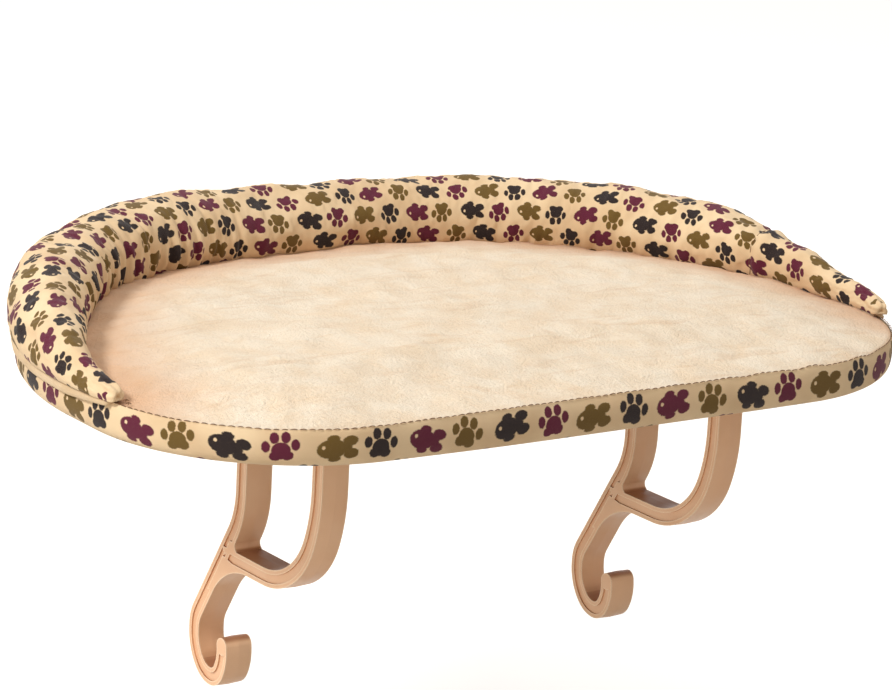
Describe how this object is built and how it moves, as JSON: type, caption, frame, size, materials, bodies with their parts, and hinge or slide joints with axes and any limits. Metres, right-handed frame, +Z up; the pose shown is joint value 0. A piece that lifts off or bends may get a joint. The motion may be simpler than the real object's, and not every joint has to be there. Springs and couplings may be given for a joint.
{
  "type": "window mounted cat perch",
  "caption": "Padded window perch for a cat, with a bolster on the window side and two scroll brackets that brace it below the sill.",
  "frame": {"origin": "middle of the underside of the adhesive tape, where the perch rests on the sill", "axes": "+X along the window, +Y toward the window, +Z up"},
  "size_m": [0.616, 0.4425, 0.2828],
  "materials": {
    "fleece": "short brushed pile",
    "printed_cloth": "woven cotton, printed",
    "underside_cloth": "plain woven",
    "board": "raw particle board",
    "foam": "open cell foam",
    "filling": "polyester fibre",
    "bracket_plastic": "satin moulded",
    "zinc_steel": "zinc plated",
    "zipper_plastic": "moulded",
    "tape_cloth": "woven tape",
    "hook_and_loop": "hook and loop",
    "adhesive": "pressure sensitive foam"
  },
  "bodies": {
    "perch": {"fleece_top": "fleece", "printed_band": "printed_cloth", "bolster_cover": "printed_cloth", "bolster_flange": "printed_cloth", "cover_underside": "underside_cloth", "base_board": "board", "foam_pad": "foam", "bolster_fill": "filling", "carriage_bolts": "zinc_steel", "flat_washers": "zinc_steel", "zipper_tape_front": "tape_cloth", "zipper_tape_rear": "tape_cloth", "zipper_teeth": "zipper_plastic", "zipper_stops": "zinc_steel", "hook_tape": "hook_and_loop", "loop_tape": "hook_and_loop", "adhesive_tape": "adhesive"},
    "left_bracket": {"left_bracket": "bracket_plastic"},
    "right_bracket": {"right_bracket": "bracket_plastic"},
    "zipper_slider": {"zipper_slider": "zinc_steel"},
    "zipper_pull": {"zipper_pull": "zinc_steel"},
    "left_rear_wing_nut": {"left_rear_wing_nut": "zinc_steel"},
    "left_front_wing_nut": {"left_front_wing_nut": "zinc_steel"},
    "right_rear_wing_nut": {"right_rear_wing_nut": "zinc_steel"},
    "right_front_wing_nut": {"right_front_wing_nut": "zinc_steel"}
  },
  "joints": [
    {"name": "left_bracket_slide", "type": "slide", "parent": "perch", "child": "left_bracket", "axis": [0, 1, 0], "range_m": [0, 0.02]},
    {"name": "right_bracket_slide", "type": "slide", "parent": "perch", "child": "right_bracket", "axis": [0, 1, 0], "range_m": [0, 0.02]},
    {"name": "left_rear_wing_nut_turn", "type": "hinge", "parent": "perch", "child": "left_rear_wing_nut", "pos_m": [-0.16, -0.115, -0.0109], "axis": [0, 0, -1], "continuous": true},
    {"name": "left_front_wing_nut_turn", "type": "hinge", "parent": "perch", "child": "left_front_wing_nut", "pos_m": [-0.16, -0.185, -0.0109], "axis": [0, 0, -1], "continuous": true},
    {"name": "right_rear_wing_nut_turn", "type": "hinge", "parent": "perch", "child": "right_rear_wing_nut", "pos_m": [0.16, -0.115, -0.0109], "axis": [0, 0, -1], "continuous": true},
    {"name": "right_front_wing_nut_turn", "type": "hinge", "parent": "perch", "child": "right_front_wing_nut", "pos_m": [0.16, -0.185, -0.0109], "axis": [0, 0, -1], "continuous": true},
    {"name": "zipper_run", "type": "slide", "parent": "perch", "child": "zipper_slider", "axis": [1, 0, 0], "range_m": [-0.419, 0]},
    {"name": "zipper_pull_flip", "type": "hinge", "parent": "zipper_slider", "child": "zipper_pull", "pos_m": [0.20975, -0.278, -0.0018], "axis": [0, 1, 0], "range_deg": [0, 180]}
  ]
}
